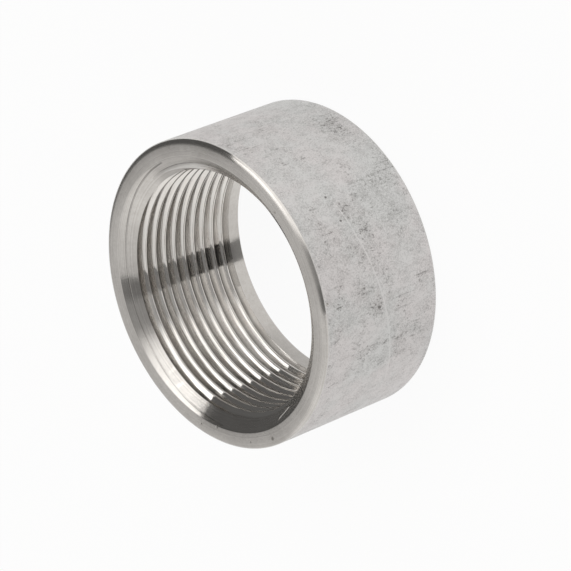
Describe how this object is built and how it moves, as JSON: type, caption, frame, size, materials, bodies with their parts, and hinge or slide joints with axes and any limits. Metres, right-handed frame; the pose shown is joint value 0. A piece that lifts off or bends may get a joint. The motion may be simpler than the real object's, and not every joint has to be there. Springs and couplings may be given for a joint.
{
  "type": "half coupling",
  "caption": "Short stainless steel pipe half coupling: an open ring with a female pipe thread behind a countersunk mouth, and a plain end to be welded on.",
  "frame": {"origin": "centre of the plain end, which is the lower face", "axes": "+Z along the bore axis from the plain end to the threaded mouth; X and Y across it, with no preferred direction"},
  "size_m": [0.057, 0.057, 0.0272],
  "materials": {
    "stainless_steel": "turned faces and thread, matt pickled outside with faint stains and scratches"
  },
  "bodies": {
    "root": {"half_coupling_body": "stainless_steel"}
  },
  "joints": []
}
